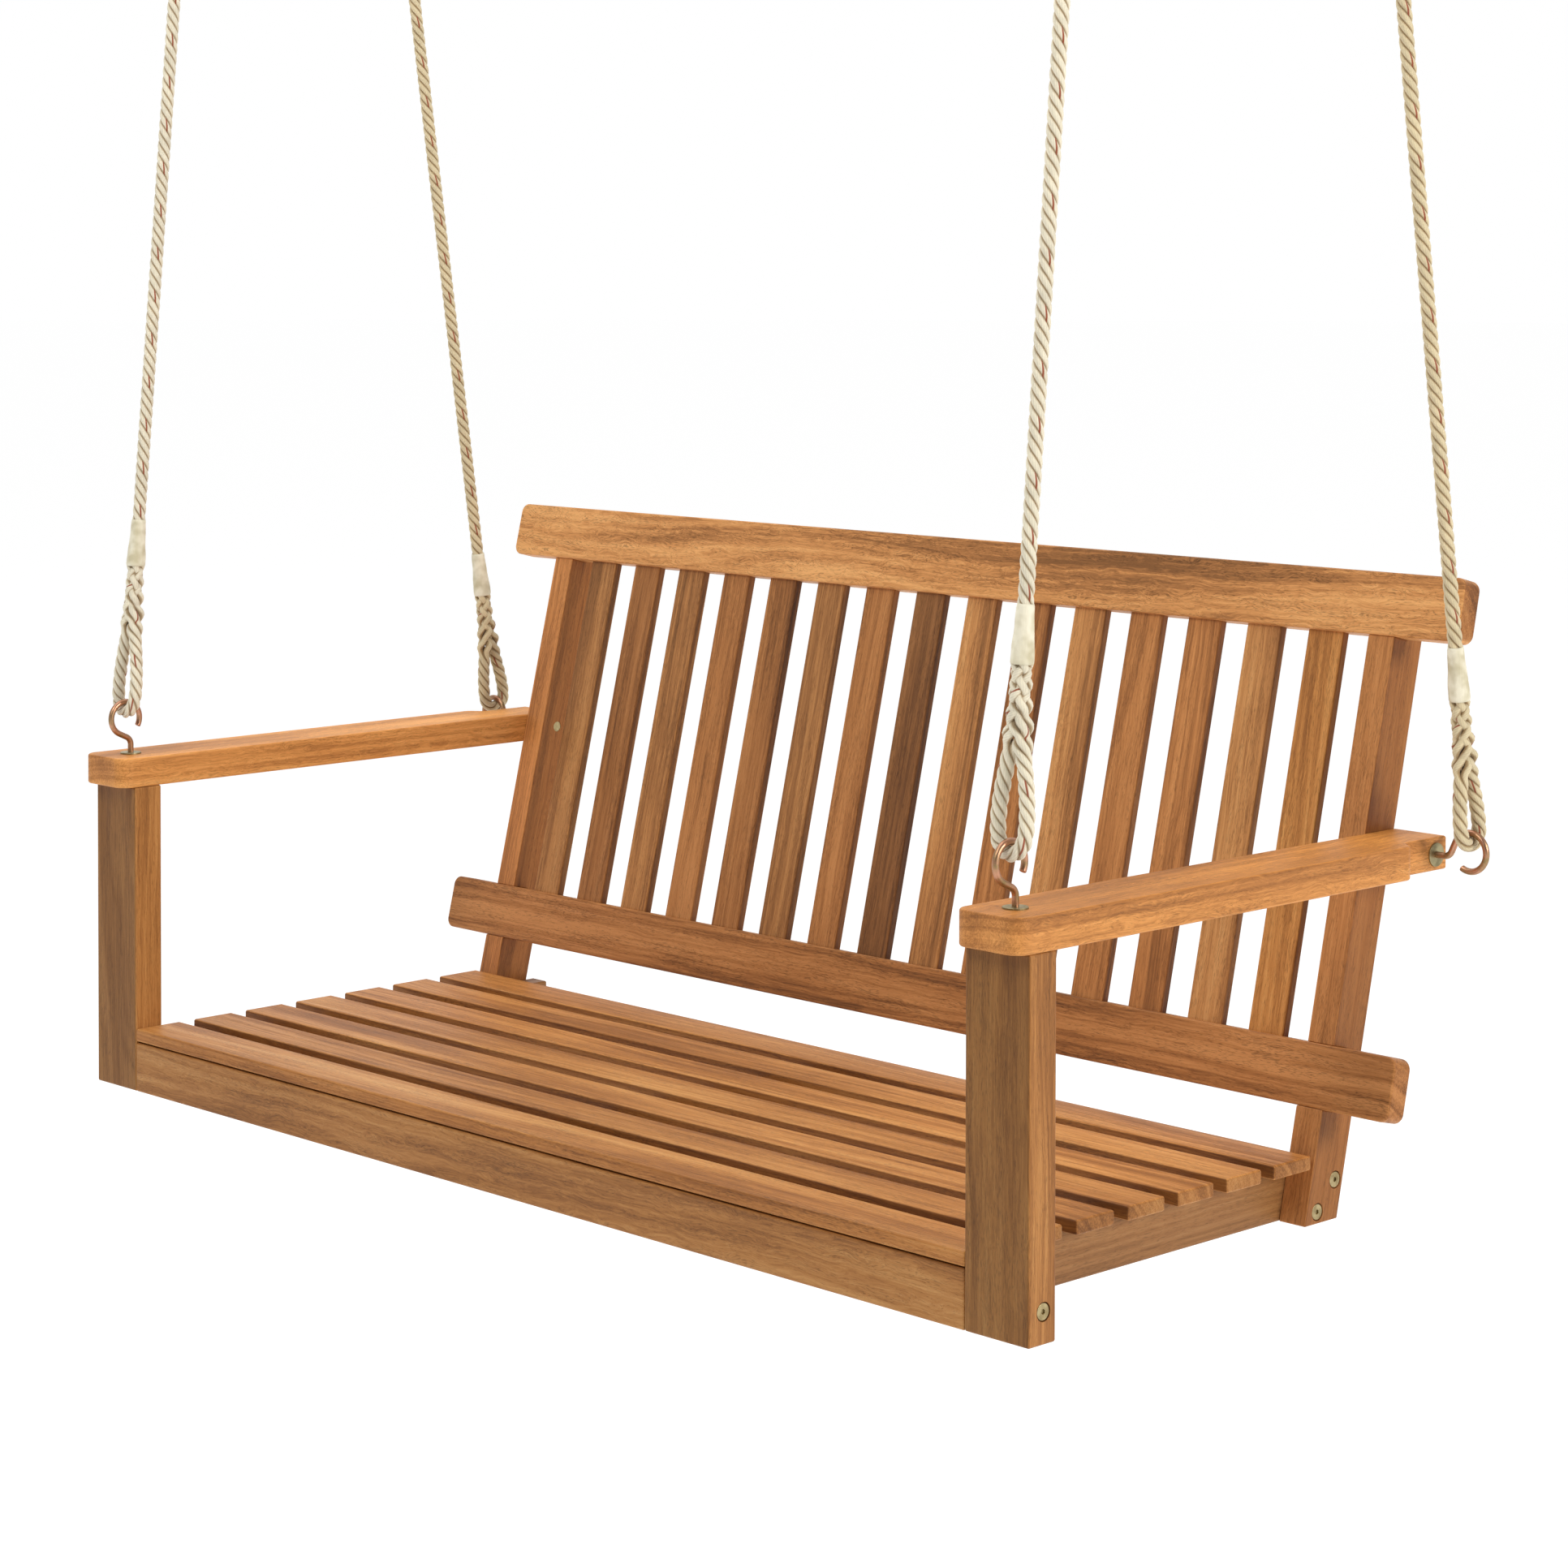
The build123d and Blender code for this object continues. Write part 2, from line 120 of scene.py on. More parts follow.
# ---------------------------------------------------------------- node helpers
def node(tree, kind, inputs=None, **settings):
    """A new node with its settings and inputs: a socket is linked and anything else is a value."""
    made = tree.nodes.new("ShaderNode" + kind)
    for key, value in settings.items():
        setattr(made, key, value)
    for key, value in (inputs or {}).items():
        if isinstance(value, bpy.types.NodeSocket):
            tree.links.new(value, made.inputs[key])
        else:
            made.inputs[key].default_value = value
    return made


def maths(tree, operation, a, b=0.0):
    return node(tree, "Math", {0: a, 1: b}, operation=operation).outputs[0]


def dot(tree, vector, direction):
    made = node(tree, "VectorMath", {0: vector, 1: direction}, operation="DOT_PRODUCT")
    return made.outputs["Value"]


def mix(tree, share, a, b, blend="MIX"):
    """Colour a with the share of b mixed in; sockets 6 and 7 are the Mix node's colours."""
    made = node(tree, "Mix", {0: share, 6: a, 7: b}, data_type="RGBA", blend_type=blend)
    return made.outputs[2]


def noise(tree, vector, scale, detail=2.0, roughness=0.5):
    inputs = {"Vector": vector, "Scale": scale, "Detail": detail, "Roughness": roughness}
    return node(tree, "TexNoise", inputs).outputs["Fac"]


def ramp(tree, value, stops):
    """A colour ramp: stops are (position, colour) or (position, grey)."""
    made = node(tree, "ValToRGB", {0: value})
    while len(made.color_ramp.elements) < len(stops):
        made.color_ramp.elements.new(0.5)
    for element, (position, colour) in zip(made.color_ramp.elements, stops):
        element.position = position
        element.color = (*colour, 1) if isinstance(colour, tuple) else (colour,) * 3 + (1,)
    return made.outputs[0]


def scaled(tree, vector, scale):
    """The vector times the scale, axis by axis."""
    return node(tree, "VectorMath", {0: vector, 1: scale}, operation="MULTIPLY").outputs[0]


def new_material(name):
    material = bpy.data.materials.new(name)
    material.use_nodes = True
    return material, material.node_tree, material.node_tree.nodes["Principled BSDF"]


def plain_material(name, colour, roughness):
    material, _, shader = new_material(name)
    shader.inputs["Base Color"].default_value = (*colour, 1)
    shader.inputs["Roughness"].default_value = roughness
    return material


def bumped(tree, shader, height, strength, distance):
    """Gives the shader a relief of this height."""
    bump = node(tree, "Bump", {"Height": height, "Strength": strength, "Distance": distance})
    tree.links.new(bump.outputs[0], shader.inputs["Normal"])


def paint(name, material):
    """The material on a whole CAD node."""
    data = nodes[name].data
    data.materials.clear()
    data.materials.append(material)


# ---------------------------------------------------------------- oiled wood
# linear colours of each kind of board: dark heart, brown, tan, pale sap
TONES = {
    "orange": ((0.20, 0.074, 0.019), (0.35, 0.138, 0.034),
               (0.50, 0.213, 0.056), (0.66, 0.330, 0.105)),
    "golden": ((0.19, 0.080, 0.025), (0.35, 0.148, 0.046),
               (0.51, 0.230, 0.074), (0.66, 0.340, 0.125)),
    "red": ((0.15, 0.057, 0.018), (0.30, 0.117, 0.034),
            (0.44, 0.180, 0.054), (0.60, 0.270, 0.092)),
    "dark": ((0.11, 0.045, 0.016), (0.22, 0.088, 0.029),
             (0.36, 0.148, 0.046), (0.52, 0.230, 0.080)),
}
END_GRAIN = (0.68, 0.66, 0.62)


def facing(tree, normal, direction):
    """1 on faces whose normal points along the direction, and 0 on the others."""
    return ramp(tree, dot(tree, normal, direction), [(0.60, 0.0), (0.90, 1.0)])


def wood(board_name, grain, seed, tone="orange", figure=0.5, light=1.0, pith=(0.05, 0.09),
         curl=0.0015, contrast=1.0, end=END_GRAIN, painted_face_light=()):
    """Sawn and oiled wood on one board.

    grain turns the board's length to X, and seed picks its place in the log. figure is how
    strongly the growth rings show. pith is the log's middle, which the rings run round, across
    the board from the board's own middle. curl is how far the fibres wave. end tints the end
    grain, and each face tint is a direction and a tint for the faces that look that way: painted
    light or shade, darker on faces turned from the lamps and lighter on those turned to them.
    """
    material, tree, shader = new_material(f"wood_{board_name}")
    coordinates = node(tree, "TexCoord")
    low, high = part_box(board_name)
    middle = [(a + b) / 2 for a, b in zip(low, high)]
    place = node(tree, "VectorMath", {0: coordinates.outputs["Object"], 1: middle},
                 operation="SUBTRACT")
    along = node(tree, "Mapping", {"Vector": place.outputs[0], "Rotation": grain}).outputs[0]
    in_log = (seed * 3.1, seed * 0.37, seed * 0.53)
    board = node(tree, "Mapping", {"Vector": along, "Location": in_log}).outputs[0]
    split = node(tree, "SeparateXYZ", {0: along})

    # growth rings round the pith, with a slow wander along the board
    wander = noise(tree, scaled(tree, board, (1.6, 9.0, 9.0)), 1.0, 2.0)
    wander = maths(tree, "MULTIPLY", maths(tree, "SUBTRACT", wander, 0.5), 0.070)
    y = maths(tree, "ADD", maths(tree, "ADD", split.outputs[1], pith[0]), wander)
    z = maths(tree, "ADD", split.outputs[2], pith[1])
    squares = maths(tree, "ADD", maths(tree, "MULTIPLY", y, y), maths(tree, "MULTIPLY", z, z))
    radius = maths(tree, "SQRT", squares)
    length = maths(tree, "MULTIPLY", split.outputs[0], 0.55)
    ringed = node(tree, "CombineXYZ", {0: length, 1: radius, 2: seed}).outputs[0]
    bands = noise(tree, scaled(tree, ringed, (1.0, 34.0, 1.0)), 1.0, 3.0, 0.6)
    lines = noise(tree, scaled(tree, ringed, (2.4, 210.0, 1.0)), 1.0, 3.0, 0.65)

    # fibres and pores, which wave together
    wave = scaled(tree, board, (24.0, 70.0, 70.0))
    wave = node(tree, "TexNoise", {"Vector": wave, "Scale": 1.0, "Detail": 1.0})
    wave = node(tree, "VectorMath", {0: wave.outputs["Color"], 1: (0.5, 0.5, 0.5)},
                operation="SUBTRACT")
    wave = scaled(tree, wave.outputs[0], (0.0, curl * 4, curl * 4))
    waving = node(tree, "VectorMath", {0: board, 1: wave}, operation="ADD").outputs[0]
    fibres = noise(tree, scaled(tree, waving, (9.0, 560.0, 560.0)), 1.0, 3.0, 0.65)
    pores = noise(tree, scaled(tree, waving, (150.0, 1900.0, 1900.0)), 1.0, 1.0)
    clouds = noise(tree, scaled(tree, board, (3.0, 20.0, 20.0)), 1.0, 2.0)
    crowd = noise(tree, scaled(tree, board, (9.0, 90.0, 90.0)), 1.0, 2.0)

    layers = ((bands, 1.9 * figure), (lines, 0.80), (clouds, 0.85), (fibres, 0.85))
    value = 0.5 - sum(weight * contrast for _, weight in layers) / 2
    for layer, weight in layers:
        value = maths(tree, "ADD", maths(tree, "MULTIPLY", layer, weight * contrast), value)
    colour = ramp(tree, value, list(zip((0.16, 0.39, 0.55, 0.82), TONES[tone])))
    crowding = maths(tree, "MULTIPLY", maths(tree, "SUBTRACT", crowd, 0.5), 0.45)
    pore = ramp(tree, maths(tree, "ADD", pores, crowding), [(0.32, 0.40), (0.44, 1.0)])
    colour = mix(tree, 0.70 * min(contrast, 1.0), colour, pore, "MULTIPLY")
    colour = mix(tree, 1.0, colour, (light, light, light, 1), "MULTIPLY")

    normal = coordinates.outputs["Normal"]
    lengthways = node(tree, "Mapping", {"Vector": normal, "Rotation": grain},
                      vector_type="VECTOR").outputs[0]
    looks = [(lengthways, (1, 0, 0), end), (lengthways, (-1, 0, 0), end)]
    # painted light and shade: faces turned one way are made lighter or darker than the rest
    looks += [(normal, direction, tint) for direction, tint in painted_face_light]
    for facet, direction, tint in looks:
        tinted = mix(tree, 1.0, colour, (*tint, 1), "MULTIPLY")
        colour = mix(tree, facing(tree, facet, direction), colour, tinted)
    tree.links.new(colour, shader.inputs["Base Color"])
    gloss = ramp(tree, lines, [(0.3, 0.55), (0.7, 0.43)])
    tree.links.new(gloss, shader.inputs["Roughness"])
    height = maths(tree, "ADD", maths(tree, "MULTIPLY", fibres, 0.5),
                   maths(tree, "MULTIPLY", pores, 0.5))
    bumped(tree, shader, height, 0.20, 0.0005)
    shader.inputs["Specular IOR Level"].default_value = 0.22
    paint(board_name, material)


# turns that bring a board's length to X
ALONG_X, ALONG_Y, ALONG_Z = (0, 0, 0), (0, 0, -pi / 2), (0, pi / 2, 0)
UP_THE_BACK = (RECLINE, pi / 2, 0)
FORWARDS, RIGHTWARDS, LEFTWARDS, UPWARDS = (0, -1, 0), (1, 0, 0), (-1, 0, 0), (0, 0, 1)


def shaded_sides(tint):
    """Painted shade: the darker tint for the faces on a board's left and right."""
    return [(RIGHTWARDS, tint), (LEFTWARDS, tint)]


def seat_boards():
    """The slats of the seat, from the front, and the boards under them."""
    for i, light in enumerate((1.0, 0.98, 1.06, 1.05, 1.15, 1.12, 1.15)):
        # painted shade: each slat's front face is darkened, most down in the gaps between slats,
        # less on the first slat's open front
        front_shade = (0.80, 0.74, 0.66) if i == 0 else (0.42, 0.36, 0.30)
        wood(f"seat_slat_{i + 1}", ALONG_X, 1.7 + i * 2.3, figure=0.30, light=light,
             pith=(0.05 + 0.013 * i, 0.07), contrast=0.85, painted_face_light=[(FORWARDS, front_shade)])
    wood("front_apron", ALONG_X, 8.9, figure=0.55, light=0.74, pith=(0.09, 0.05), curl=0.003,
         contrast=0.8)
    wood("centre_rail", ALONG_Y, 3.3, figure=0.4)
    wood("rail_dowels", ALONG_Y, 1.1, figure=0.3)


def back_boards():
    """The slats of the back, from the left, between its two rails."""
    tones = ("golden red golden red red golden red dark "
             "golden red golden red red golden orange").split()
    lights = (0.9, 0.85, 1.0, 1.0, 0.9, 0.9, 1.0, 0.68, 1.1, 1.1, 1.1, 1.1, 1.15, 1.05, 1.1)
    for i, (tone, light) in enumerate(zip(tones, lights)):
        # painted shade darkens each back slat's left and right faces
        wood(f"back_slat_{i + 1}", UP_THE_BACK, 4.1 + i * 1.9, tone, figure=0.45, light=light,
             pith=(0.03 + 0.02 * (i % 4), 0.05 + 0.01 * (i % 3)), contrast=0.8,
             painted_face_light=shaded_sides((0.62, 0.56, 0.48)))
    wood("top_back_rail", ALONG_X, 11.3, "golden", figure=0.65, light=1.22, pith=(0.07, 0.03),
         curl=0.0035, end=(0.56, 0.48, 0.38))
    wood("lower_back_rail", ALONG_X, 5.7, "red", figure=0.5, pith=(0.06, 0.09),
         end=(0.8, 0.74, 0.62))


def side_boards():
    """The rails, posts and arms of both sides; i is 0 on the left and 1 on the right."""
    for i, side in enumerate(SIDES):
        wood(f"side_rail_{side}", ALONG_Y, 6.1 + i, "golden", figure=0.3, light=0.56, contrast=0.6)
        # painted shade on each front post's front face, under the arm
        wood(f"front_post_{side}", ALONG_Z, 2.2 + 5 * i, figure=0.35, light=0.84,
             pith=(0.12, 0.02), contrast=0.7, painted_face_light=[(FORWARDS, (0.62, 0.63, 0.58))])
        # painted shade on each back post's left and right faces
        wood(f"back_post_{side}", UP_THE_BACK, 7.7 + 3 * i, "red", figure=0.4,
             light=1.32 - 0.25 * i, contrast=0.75, painted_face_light=shaded_sides((0.56, 0.49, 0.36)))
        # painted light on each arm's top face
        wood(f"arm_{side}", ALONG_Y, 9.4 + 4 * i, figure=0.45, light=1.24, pith=(0.02, 0.22),
             curl=0.0035, contrast=0.7, end=(1, 1, 1), painted_face_light=[(UPWARDS, (1.3, 1.3, 1.12))])


# ---------------------------------------------------------------- metal
def metal(name, colour, tarnish, roughness):
    """Plated steel with uneven tarnish and fine drawing marks."""
    material, tree, shader = new_material(name)
    place = node(tree, "TexCoord").outputs["Object"]
    patches = noise(tree, place, 90.0, 4.0, 0.6)
    share = ramp(tree, patches, [(0.42, 0.0), (0.66, 1.0)])
    colour = mix(tree, share, (*colour, 1), (*tarnish, 1))
    tree.links.new(colour, shader.inputs["Base Color"])
    rough = ramp(tree, patches, [(0.35, roughness - 0.08), (0.7, roughness + 0.14)])
    tree.links.new(rough, shader.inputs["Roughness"])
    shader.inputs["Metallic"].default_value = 1.0
    bumped(tree, shader, noise(tree, place, 1800.0, 2.0), 0.15, 0.0001)
    return material


def hardware():
    """Coppered hooks, and washers, bolts and screws in yellowed zinc."""
    copper = metal("coppered_steel", (0.52, 0.27, 0.17), (0.30, 0.22, 0.10), 0.40)
    washer = metal("washer_steel", (0.42, 0.36, 0.20), (0.26, 0.22, 0.12), 0.42)
    bolt = metal("bolt_steel", (0.47, 0.38, 0.20), (0.28, 0.21, 0.10), 0.42)
    for row in ROWS:
        for side in SIDES:
            paint(f"arm_hook_{row}_{side}", copper)
            paint(f"ceiling_hook_{row}_{side}", copper)
    paint("hook_washers", washer)
    for kind in ("frame_bolts", "frame_nuts", "barrel_nuts",
                 "slat_screws", "rail_screws", "arm_screws"):
        paint(kind, bolt)


# ---------------------------------------------------------------- ropes
ROPE = 0.012
STRANDS = 4
STRAND_SIDES = 12
LAY = 0.0415  # height of one turn of a strand
STRAND_R, STRAND_OUT = 0.00285, 0.00345  # radius of a strand, and of the ring that they lie on
STEP = 0.0018  # between the points of the line

# the hooks
WIRE_R, BOWL_R, SLACK = 0.00275, 0.016, 0.0007
BEARING = WIRE_R + SLACK + ROPE / 2  # from a hook's wire to the rope's centre line

# the eyes: half of each one's route, across and along the rope from the middle of the fold
EYE = {
    "front": [(0.0126, 0.0), (0.0155, 0.036), (0.0, 0.104)],
    "rear": [(0.0126, 0.0), (0.0129, 0.030), (0.0, 0.086)],
}
STRAIGHT = {"front": 0.174, "rear": 0.144}  # first point of the straight stretch

# the splices, whose strands lie further out and are fuller
THROAT = {"front": 0.077, "rear": 0.058}
SPLICE_END = {"front": 0.145, "rear": 0.126}
SPLICE_TURN = 0.062  # height of one turn of a strand within a splice
SPLICE_OUT, SPLICE_CROSS = 0.0048, 0.0016  # ring of the strands, and how far one passes another
SPLICE_FULLER, SPLICE_TAPER = 0.00042, 0.16
TIP = 0.010  # the tucked end narrows over this length

# the tape sleeves
TAPE, TAPE_R, TAPE_TOP_R, TAPE_WALL = 0.039, 0.0094, 0.0067, 0.0008
TAPE_SIDES = 32

MARKER_BEARING = radians(-20)  # side that shows the marker yarn, from X, seen from above


def rope_ends(row, side):
    """Middles of the lower and the upper fold, and the rope's direction."""
    low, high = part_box(f"arm_hook_{row}_{side}")
    ceiling_low, ceiling_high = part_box(f"ceiling_hook_{row}_{side}")
    x = (ceiling_low[0] + ceiling_high[0]) / 2
    drop = BOWL_R if row == "front" else 0.0
    lower = Vector((x, (low[1] + high[1]) / 2, high[2] - WIRE_R - drop))
    upper = Vector((x, (ceiling_low[1] + ceiling_high[1]) / 2, ceiling_low[2] + WIRE_R))
    along = (upper - lower).normalized()
    return lower + along * (drop - BEARING), upper + along * BEARING, along


def route_of(row, side):
    """Control points of a whole rope, from one end inside its splice to the other."""
    lower, upper, along = rope_ends(row, side)
    fore_and_aft = along.cross(X).normalized()
    across = X if row == "front" else fore_and_aft
    half = EYE[row]
    leg_and_leg = [(-x, y) for x, y in reversed(half)] + half
    points = [lower + along * SPLICE_END[row]]
    points += [lower + across * x + along * y for x, y in leg_and_leg]
    points += [lower + along * STRAIGHT[row], upper - along * STRAIGHT[row]]
    points += [upper + fore_and_aft * x - along * y for x, y in leg_and_leg]
    points += [upper - along * SPLICE_END[row]]
    return points


def smooth_line(points):
    """The points of the NURBS curve that has these control points."""
    data = bpy.data.curves.new("route", "CURVE")
    data.dimensions = "3D"
    data.resolution_u = 24
    spline = data.splines.new("NURBS")
    spline.points.add(len(points) - 1)
    for point, place in zip(spline.points, points):
        point.co = (*place, 1)
    spline.order_u = 3
    spline.use_endpoint_u = True
    bare = bpy.data.objects.new("route", data)
    mesh = bpy.data.meshes.new_from_object(bare)
    line = np.array([vertex.co for vertex in mesh.vertices])
    bpy.data.meshes.remove(mesh)
    bpy.data.curves.remove(data)
    return line


def even(line, step):
    """The line with points a step apart, and how far along it they are."""
    run = np.concatenate([[0], np.cumsum(np.linalg.norm(np.diff(line, axis=0), axis=1))])
    at = np.linspace(0, run[-1], round(run[-1] / step) + 1)
    return np.stack([np.interp(at, run, line[:, k]) for k in range(3)], axis=1), at


def unit(v):
    return v / np.linalg.norm(v, axis=-1, keepdims=True)


def frames(line):
    """Directions along the line, and two across it that turn no more than the line does."""
    ahead = unit(np.gradient(line, axis=0))
    across = np.zeros_like(line)
    across[0] = unit(np.cross(ahead[0], np.cross([0.3, 1.0, 0.1], ahead[0])))
    for i in range(1, len(line)):
        across[i] = across[i - 1] - ahead[i] * np.dot(across[i - 1], ahead[i])
        across[i] = unit(across[i])
    return ahead, across, np.cross(ahead, across)


def turned(out, side, angle):
    """The direction at an angle from out towards side, for each point of a line."""
    return out * np.cos(angle)[:, None] + side * np.sin(angle)[:, None]


def ease(value, start, end):
    """0 before start and 1 after end, with a smooth step between."""
    t = np.clip((value - start) / (end - start), 0, 1)
    return t * t * (3 - 2 * t)


def ring_angles(sides):
    return np.linspace(0, 2 * pi, sides, endpoint=False)


def rings(line, out, side, reach):
    """Rings of points round a line, from out towards side; reach has a row for each ring."""
    angles = ring_angles(reach.shape[1])[None, :, None]
    return line[:, None] + reach[:, :, None] * (
        np.cos(angles) * out[:, None] + np.sin(angles) * side[:, None])


def skin(base, rows, sides):
    """The quads between rings of vertices, ring by ring, and where each one is: ring and side."""
    quads = []
    for i in range(rows - 1):
        for j in range(sides):
            here, there, k = base + i * sides, base + (i + 1) * sides, (j + 1) % sides
            quads.append(((here + j, here + k, there + k, there + j), (i, j)))
    return quads


def new_piece(name, points, faces):
    """A smooth-shaded object in the scene."""
    mesh = bpy.data.meshes.new(name)
    mesh.from_pydata([tuple(point) for point in points], [], faces)
    for polygon in mesh.polygons:
        polygon.use_smooth = len(polygon.vertices) == 4
    made = bpy.data.objects.new(name, mesh)
    bpy.context.collection.objects.link(made)
    return made


def strand_tubes(name, centres, outs, radius, u):
    """One closed tube per strand. Its UV map has u along the strand, and v round it from out."""
    points, faces, uvs, strands = [], [], [], []
    rows = len(u)
    reach = np.repeat(radius[:, None], STRAND_SIDES, axis=1)
    for strand, (line, outward) in enumerate(zip(centres, outs)):
        ahead = unit(np.gradient(line, axis=0))
        out = unit(outward - ahead * np.sum(outward * ahead, axis=1, keepdims=True))
        points.append(rings(line, out, np.cross(ahead, out), reach).reshape(-1, 3))
        first = strand * rows * STRAND_SIDES
        for quad, (i, j) in skin(first, rows, STRAND_SIDES):
            faces.append(quad)
            v0, v1 = j / STRAND_SIDES, (j + 1) / STRAND_SIDES
            uvs += [(u[i], v0), (u[i], v1), (u[i + 1], v1), (u[i + 1], v0)]
        last = first + (rows - 1) * STRAND_SIDES
        faces.append(tuple(first + j for j in reversed(range(STRAND_SIDES))))
        faces.append(tuple(last + j for j in range(STRAND_SIDES)))
        uvs += [(u[0], 0.5)] * STRAND_SIDES + [(u[-1], 0.5)] * STRAND_SIDES
        strands += [strand] * (len(faces) - len(strands))
    made = new_piece(name, np.concatenate(points), faces)
    layer = made.data.uv_layers.new(name="UVMap")
    layer.data.foreach_set("uv", np.array(uvs, dtype=np.float32).ravel())
    for polygon, strand in zip(made.data.polygons, strands):
        polygon.material_index = min(strand, 1)
    return made


def bearing_at(heights, stretch, height, bearing):
    """The strands' bearing at these heights, on the stretch of rope that the mask takes."""
    order = np.argsort(height[stretch])
    return np.interp(heights, height[stretch][order], bearing[stretch][order])


def crossings(height, bearing, from_fold, span, end):
    """1 where a spliced strand passes over the other part's, and -1 where it passes under.

    The tail of the rope and the part it is tucked into have their strands cross in a splice.
    """
    over = np.zeros(len(height))
    index, lower_half = np.arange(len(height)), height < span / 2
    for tail, here in ((index <= height.argmin(), lower_half),
                       (index >= height.argmax(), ~lower_half)):
        rest = ~tail & here & (from_fold < end + 0.03)
        apart = bearing[tail] - bearing_at(height[tail], rest, height, bearing)
        over[tail] = -np.cos(STRANDS / 2 * apart)
        apart = bearing_at(height[rest], tail, height, bearing) - bearing[rest]
        over[rest] = np.cos(STRANDS / 2 * apart)
    return over


def laid_rope(row, side, materials, tape_material):
    """A laid rope with an eye spliced round a hook at each end, and a tape on each splice."""
    lower, upper, along = rope_ends(row, side)
    line, run = even(smooth_line(route_of(row, side)), STEP)
    _, across, third = frames(line)
    up = np.array(along)
    height = (line - np.array(lower)) @ up
    span = (upper - lower).length
    throat, end = THROAT[row], SPLICE_END[row]
    index = np.arange(len(line))
    from_fold = np.minimum(height, span - height)
    spliced = ease(from_fold, throat - 0.006, throat + 0.010)
    spliced = spliced * (1 - ease(from_fold, end - 0.004, end + 0.012))
    tail = (index < height.argmin()) | (index > height.argmax())
    rate = -2 * pi / LAY * (1 - spliced) + np.where(tail, 1, -1) * 2 * pi / SPLICE_TURN * spliced
    turn = np.concatenate([[0], np.cumsum((rate[1:] + rate[:-1]) / 2 * np.diff(run))])

    level = np.array(X) - up * np.dot(X, up)
    first = turned(across, third, turn)
    bearing = np.unwrap(np.arctan2(first @ np.cross(up, level), first @ level))
    middle = np.flatnonzero(np.abs(height - span / 2) < 1.5 * LAY)
    from_marker = np.abs(np.exp(1j * bearing[middle]) - np.exp(1j * MARKER_BEARING))
    marked = run[middle[from_marker.argmin()]]

    over = crossings(height, bearing, from_fold, span, end)
    shrink = 1 - SPLICE_TAPER * ease(from_fold, throat + 0.01, end)
    splice_out = (SPLICE_OUT + SPLICE_CROSS * over) * shrink
    ring = STRAND_OUT + spliced * (splice_out - STRAND_OUT)
    thick = STRAND_R + spliced * SPLICE_FULLER
    tip = ease(np.minimum(run, run[-1] - run), 0.0, TIP)
    ring = np.where(tail, ring * (0.6 + 0.4 * tip), ring)
    thick = thick * (0.45 + 0.55 * tip)

    outs = [turned(across, third, turn + 2 * pi * strand / STRANDS) for strand in range(STRANDS)]
    centres = [line + out * ring[:, None] for out in outs]
    rope = strand_tubes(f"laid_rope_{row}_{side}", centres, outs, thick, (run - marked) / LAY)
    for material in materials:
        rope.data.materials.append(material)
    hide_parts(f"rope_{row}_{side}")
    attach(rope, f"rope_{row}_{side}")

    for name, fold, way in (("lower", lower, along), ("upper", upper, -along)):
        taped = ~tail & (from_fold > end - 0.006) & (from_fold < end + TAPE + 0.002)
        near = np.linalg.norm(line - np.array(fold), axis=1) < end + TAPE + 0.02
        tape = tape_sleeve(f"tape_{name}_{row}_{side}", line[taped & near], np.array(way))
        tape.data.materials.append(tape_material)
        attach(tape, f"rope_{row}_{side}")
    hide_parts(f"rope_tape_{row}_{side}")


def tape_sleeve(name, centre, way):
    """A shrunk tape over the end of a splice: wide at the splice, and closed to the rope."""
    if (centre[-1] - centre[0]) @ way < 0:
        centre = centre[::-1]
    high = (centre - centre[0]) @ way
    share = (high / high[-1])[:, None]
    angles = ring_angles(TAPE_SIDES)[None, :]
    _, across, third = frames(centre)
    radius = TAPE_R - (TAPE_R - TAPE_TOP_R) * share ** 0.85
    lumps = 0.00030 * np.sin(2 * angles + 9 * share) * (1 - share)
    lumps = lumps + 0.00012 * np.sin(5 * angles - 14 * share)
    lip = 0.0006 * (1 - ease(share, 0.0, 0.05)) + 0.0003 * ease(share, 0.96, 1.0)
    reach = radius + lumps - lip
    points = np.concatenate([rings(centre, across, third, reach).reshape(-1, 3),
                             rings(centre, across, third, reach - TAPE_WALL).reshape(-1, 3)])
    inside = len(centre) * TAPE_SIDES
    faces = [quad for quad, _ in skin(0, len(centre), TAPE_SIDES)]
    faces += [(b, a, d, c) for (a, b, c, d), _ in skin(inside, len(centre), TAPE_SIDES)]
    top = inside - TAPE_SIDES
    for j in range(TAPE_SIDES):
        k = (j + 1) % TAPE_SIDES
        faces.append((k, j, inside + j, inside + k))
        faces.append((top + j, top + k, inside + top + k, inside + top + j))
    return new_piece(name, points, faces)


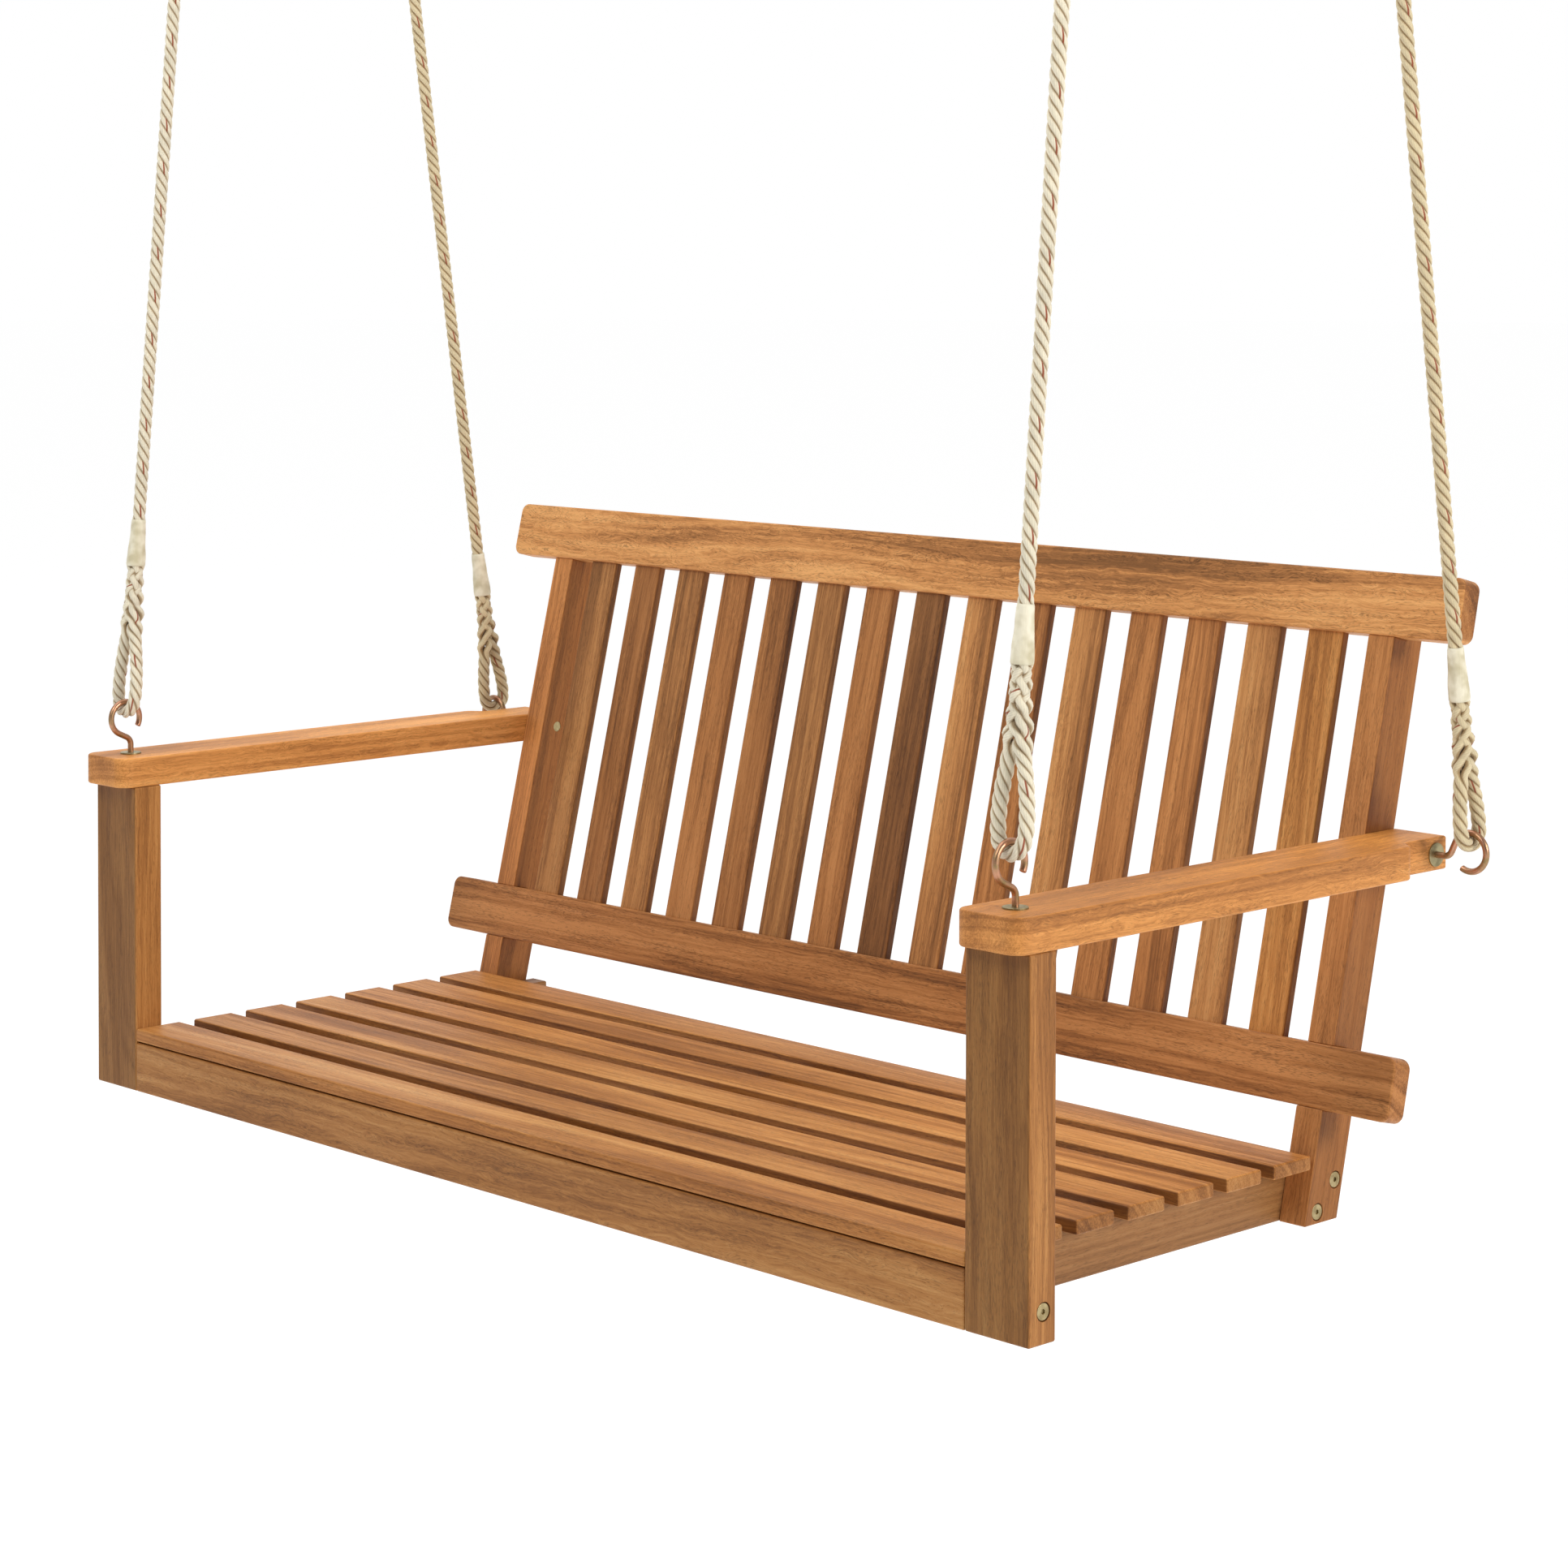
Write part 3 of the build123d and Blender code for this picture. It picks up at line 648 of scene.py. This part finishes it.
def rope_material(name, tint, marked):
    """Undyed spun fibre: yarns that lie nearly along the rope, and perhaps a dyed marker yarn."""
    material, tree, shader = new_material(name)
    uv = node(tree, "SeparateXYZ", {0: node(tree, "UVMap").outputs[0]})
    yarn = maths(tree, "SUBTRACT", uv.outputs[1], maths(tree, "MULTIPLY", uv.outputs[0], 2.0))
    place = node(tree, "TexCoord").outputs["Object"]
    fuzz = noise(tree, place, 2600.0, 3.0, 0.7)
    patches = noise(tree, place, 60.0, 3.0)
    wave = maths(tree, "SINE", maths(tree, "MULTIPLY", yarn, 2 * pi * 9))
    lines = maths(tree, "ADD", maths(tree, "MULTIPLY", wave, 0.13), fuzz)
    mottle = maths(tree, "ADD", maths(tree, "MULTIPLY", lines, 0.5),
                   maths(tree, "MULTIPLY", patches, 0.5))
    shade = tuple(0.72 * channel for channel in tint)
    colour = ramp(tree, mottle, [(0.30, shade), (0.62, tint)])
    # painted shade in the grooves between the strands
    inwards = maths(tree, "PINGPONG", uv.outputs[1], 0.5)
    groove_shade = ramp(tree, inwards, [(0.12, (1.0, 1.0, 1.0)), (0.21, (0.52, 0.41, 0.29))])
    colour = mix(tree, 1.0, colour, groove_shade, "MULTIPLY")
    if marked:
        across = maths(tree, "FRACT", maths(tree, "ADD", yarn, 100.5))
        from_yarn = maths(tree, "ABSOLUTE", maths(tree, "SUBTRACT", across, 0.5))
        share = ramp(tree, from_yarn, [(0.035, 1.0), (0.060, 0.0)])
        colour = mix(tree, share, colour, (0.30, 0.075, 0.030, 1))
    tree.links.new(colour, shader.inputs["Base Color"])
    shader.inputs["Roughness"].default_value = 0.85
    shader.inputs["Sheen Weight"].default_value = 0.25
    shader.inputs["Sheen Roughness"].default_value = 0.5
    bumped(tree, shader, lines, 0.6, 0.0005)
    return material


def tape_material():
    """Off-white shrunk film with faint creases and yellowed patches."""
    material, tree, shader = new_material("rope_tape")
    place = node(tree, "TexCoord").outputs["Object"]
    creases = noise(tree, scaled(tree, place, (420.0, 420.0, 70.0)), 1.0, 3.0, 0.6)
    patches = noise(tree, place, 70.0, 2.0)
    colour = ramp(tree, patches, [(0.35, (0.55, 0.49, 0.32)), (0.62, (0.79, 0.74, 0.58))])
    tree.links.new(colour, shader.inputs["Base Color"])
    shader.inputs["Roughness"].default_value = 0.45
    bumped(tree, shader, creases, 0.6, 0.0008)
    return material


def ropes():
    """The four ropes. One strand of each has the marker yarn, and the rear ones are yellower."""
    tape = tape_material()
    for row, tint in (("front", (0.83, 0.76, 0.585)), ("rear", (0.72, 0.605, 0.38))):
        materials = [rope_material(f"rope_{row}_marked", tint, True),
                     rope_material(f"rope_{row}_plain", tint, False)]
        for side in SIDES:
            laid_rope(row, side, materials, tape)


camera()
studio()
ropes()
seat_boards()
back_boards()
side_boards()
hardware()
